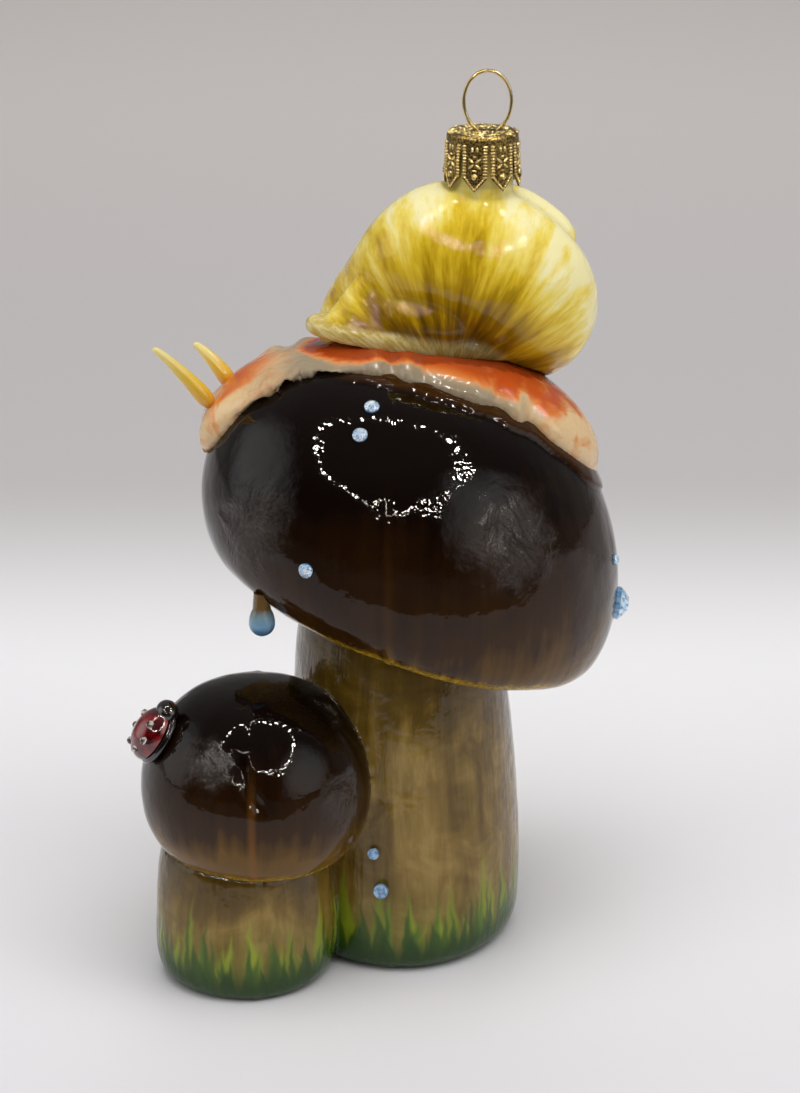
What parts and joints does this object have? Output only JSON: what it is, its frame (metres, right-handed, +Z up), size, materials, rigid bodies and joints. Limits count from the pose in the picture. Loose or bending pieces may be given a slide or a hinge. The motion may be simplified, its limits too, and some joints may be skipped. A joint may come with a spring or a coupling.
{
  "type": "hanging glass mushroom ornament",
  "caption": "Blown and painted glass ornament of a snail on a large brown mushroom beside a small one, with a lift-off brass crown cap and a wire loop to hang it by.",
  "frame": {"origin": "on the large stem's flat foot, under the middle of the large mushroom", "axes": "+Z up along the stem to the crown cap, -Y towards the viewer, the snail's head towards -X"},
  "size_m": [0.0891, 0.0752, 0.1583],
  "materials": {
    "cap_brown": "dark brown lacquer over glass, high gloss",
    "stem_beige": "beige streaked lacquer over glass, high gloss",
    "snail_skin": "orange and cream lacquer over glass, high gloss",
    "shell_yellow": "yellow streaked lacquer over glass, high gloss",
    "dew_blue": "clear blue glass, polished",
    "crystal_clear": "cut and foiled glass, polished",
    "bug_red": "deep red enamel on glass, high gloss",
    "bug_black": "black enamel on glass, high gloss",
    "spot_crystal": "dark cut glass, polished",
    "antique_brass": "stamped thin sheet, dark patina in the relief",
    "gold_wire": "drawn spring wire, bright"
  },
  "bodies": {
    "glass": {"large_cap": "cap_brown", "large_stem": "stem_beige", "small_cap": "cap_brown", "small_stem": "stem_beige", "snail_body": "snail_skin", "snail_shell": "shell_yellow", "front_tentacle": "shell_yellow", "rear_tentacle": "shell_yellow", "dew_drop": "dew_blue", "ladybird_underbody": "bug_black", "ladybird_wing_cases": "bug_red", "ladybird_head": "bug_black", "ladybird_spots": "spot_crystal", "cap_crystal_upper": "crystal_clear", "cap_crystal_top": "crystal_clear", "cap_crystal_front": "crystal_clear", "cap_crystal_right": "crystal_clear", "rim_crystal_large": "crystal_clear", "stem_crystal_upper": "crystal_clear", "stem_crystal_lower": "crystal_clear"},
    "crown": {"crown_cap": "antique_brass"},
    "hanger": {"hanger_wire": "gold_wire"}
  },
  "joints": [
    {"name": "crown_lift", "type": "slide", "parent": "glass", "child": "crown", "axis": [0, 0, 1], "range_m": [0, 0.025]},
    {"name": "loop_tilt", "type": "hinge", "parent": "crown", "child": "hanger", "pos_m": [0.015, 0.003, 0.14758], "axis": [1, 0, 0], "range_deg": [-12, 12]}
  ]
}
